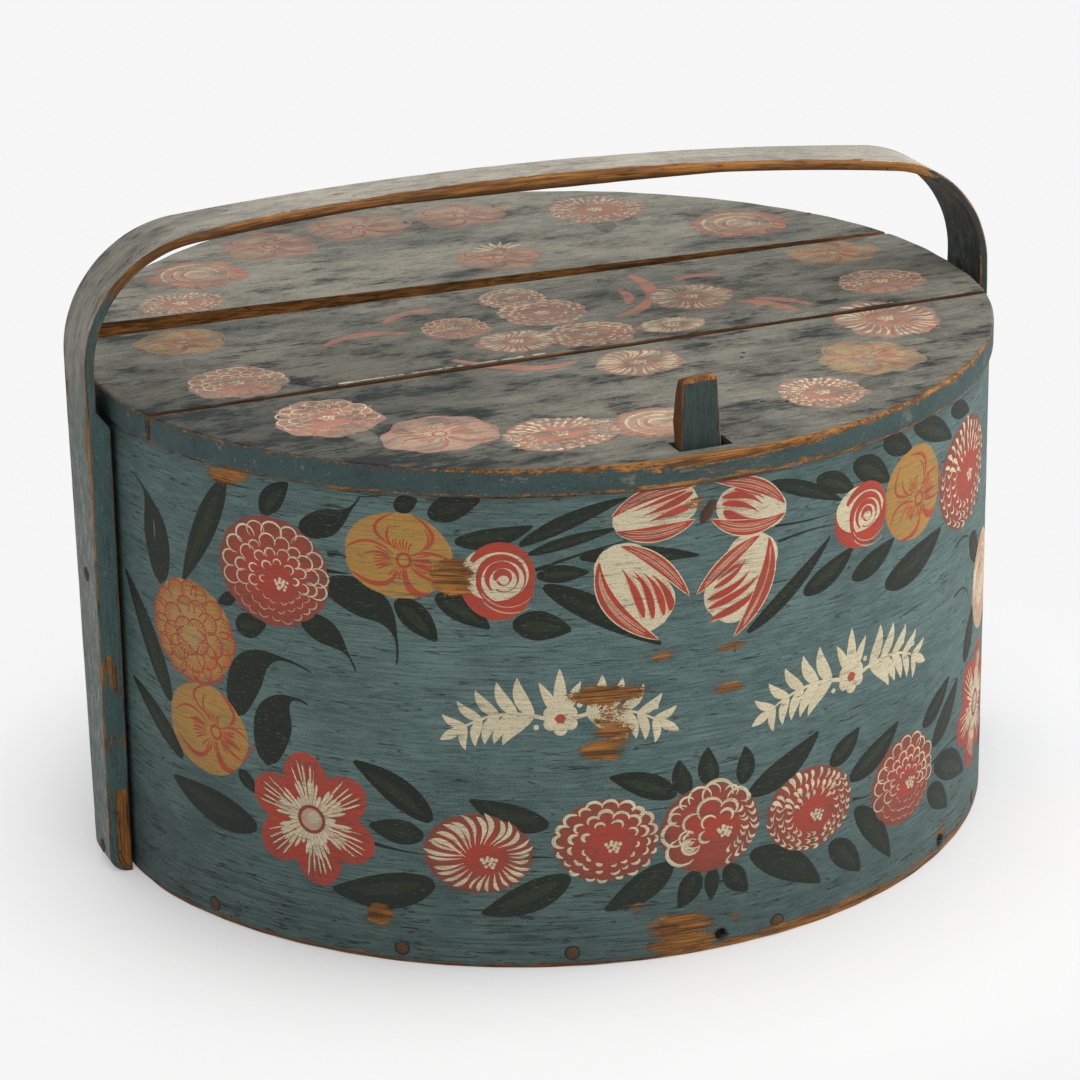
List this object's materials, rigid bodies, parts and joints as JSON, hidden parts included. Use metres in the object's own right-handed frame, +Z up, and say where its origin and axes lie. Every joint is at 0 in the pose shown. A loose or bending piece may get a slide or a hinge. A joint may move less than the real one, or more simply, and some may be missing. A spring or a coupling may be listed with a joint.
{
  "type": "bentwood box",
  "caption": "Round lidded bentwood box with a lapped and root-sewn side band, pegged board bottom, fixed bent strap handle, loose board lid and a springy wooden latch tongue, folk-painted.",
  "frame": {"origin": "centre of the bottom of the box, on the surface that it stands on", "axes": "+X along the handle and the lid boards, -Y to the front where the latch is, +Z up"},
  "size_m": [0.4664, 0.4266, 0.3179],
  "materials": {
    "painted_band": "old matt slate-blue distemper over pine",
    "painted_handle": "worn slate-blue paint over ash",
    "painted_lid": "worn grey-blue paint over pine",
    "painted_latch": "worn slate-blue paint over hardwood",
    "bare_wood": "aged bare pine",
    "peg_wood": "dark whittled pegs",
    "root": "split root strand",
    "iron": "rusty hand-forged nail"
  },
  "bodies": {
    "box": {"side_band": "painted_band", "seam_root_outer": "root", "seam_root_inner": "root", "bottom_front_board": "bare_wood", "bottom_middle_board": "bare_wood", "bottom_rear_board": "bare_wood", "base_pegs": "peg_wood", "handle": "painted_handle", "handle_nails_left": "iron", "handle_nails_right": "iron", "latch_nail": "iron"},
    "lid": {"lid_front_board": "painted_lid", "lid_middle_board": "painted_lid", "lid_rear_board": "painted_lid", "lid_batten_left": "bare_wood", "lid_batten_right": "bare_wood", "batten_pegs_left": "peg_wood", "batten_pegs_right": "peg_wood"},
    "latch": {"latch_tongue": "painted_latch"}
  },
  "joints": [
    {"name": "lid_tilt", "type": "hinge", "parent": "box", "child": "lid", "pos_m": [0, 0.2115, 0.229], "axis": [-1, 0, 0], "range_deg": [0, 6.3]},
    {"name": "latch_flex", "type": "hinge", "parent": "box", "child": "latch", "pos_m": [-0.005, -0.205, 0.214], "axis": [1, 0, 0], "range_deg": [0, 3.5], "stiffness_Nm_per_rad": 6}
  ]
}
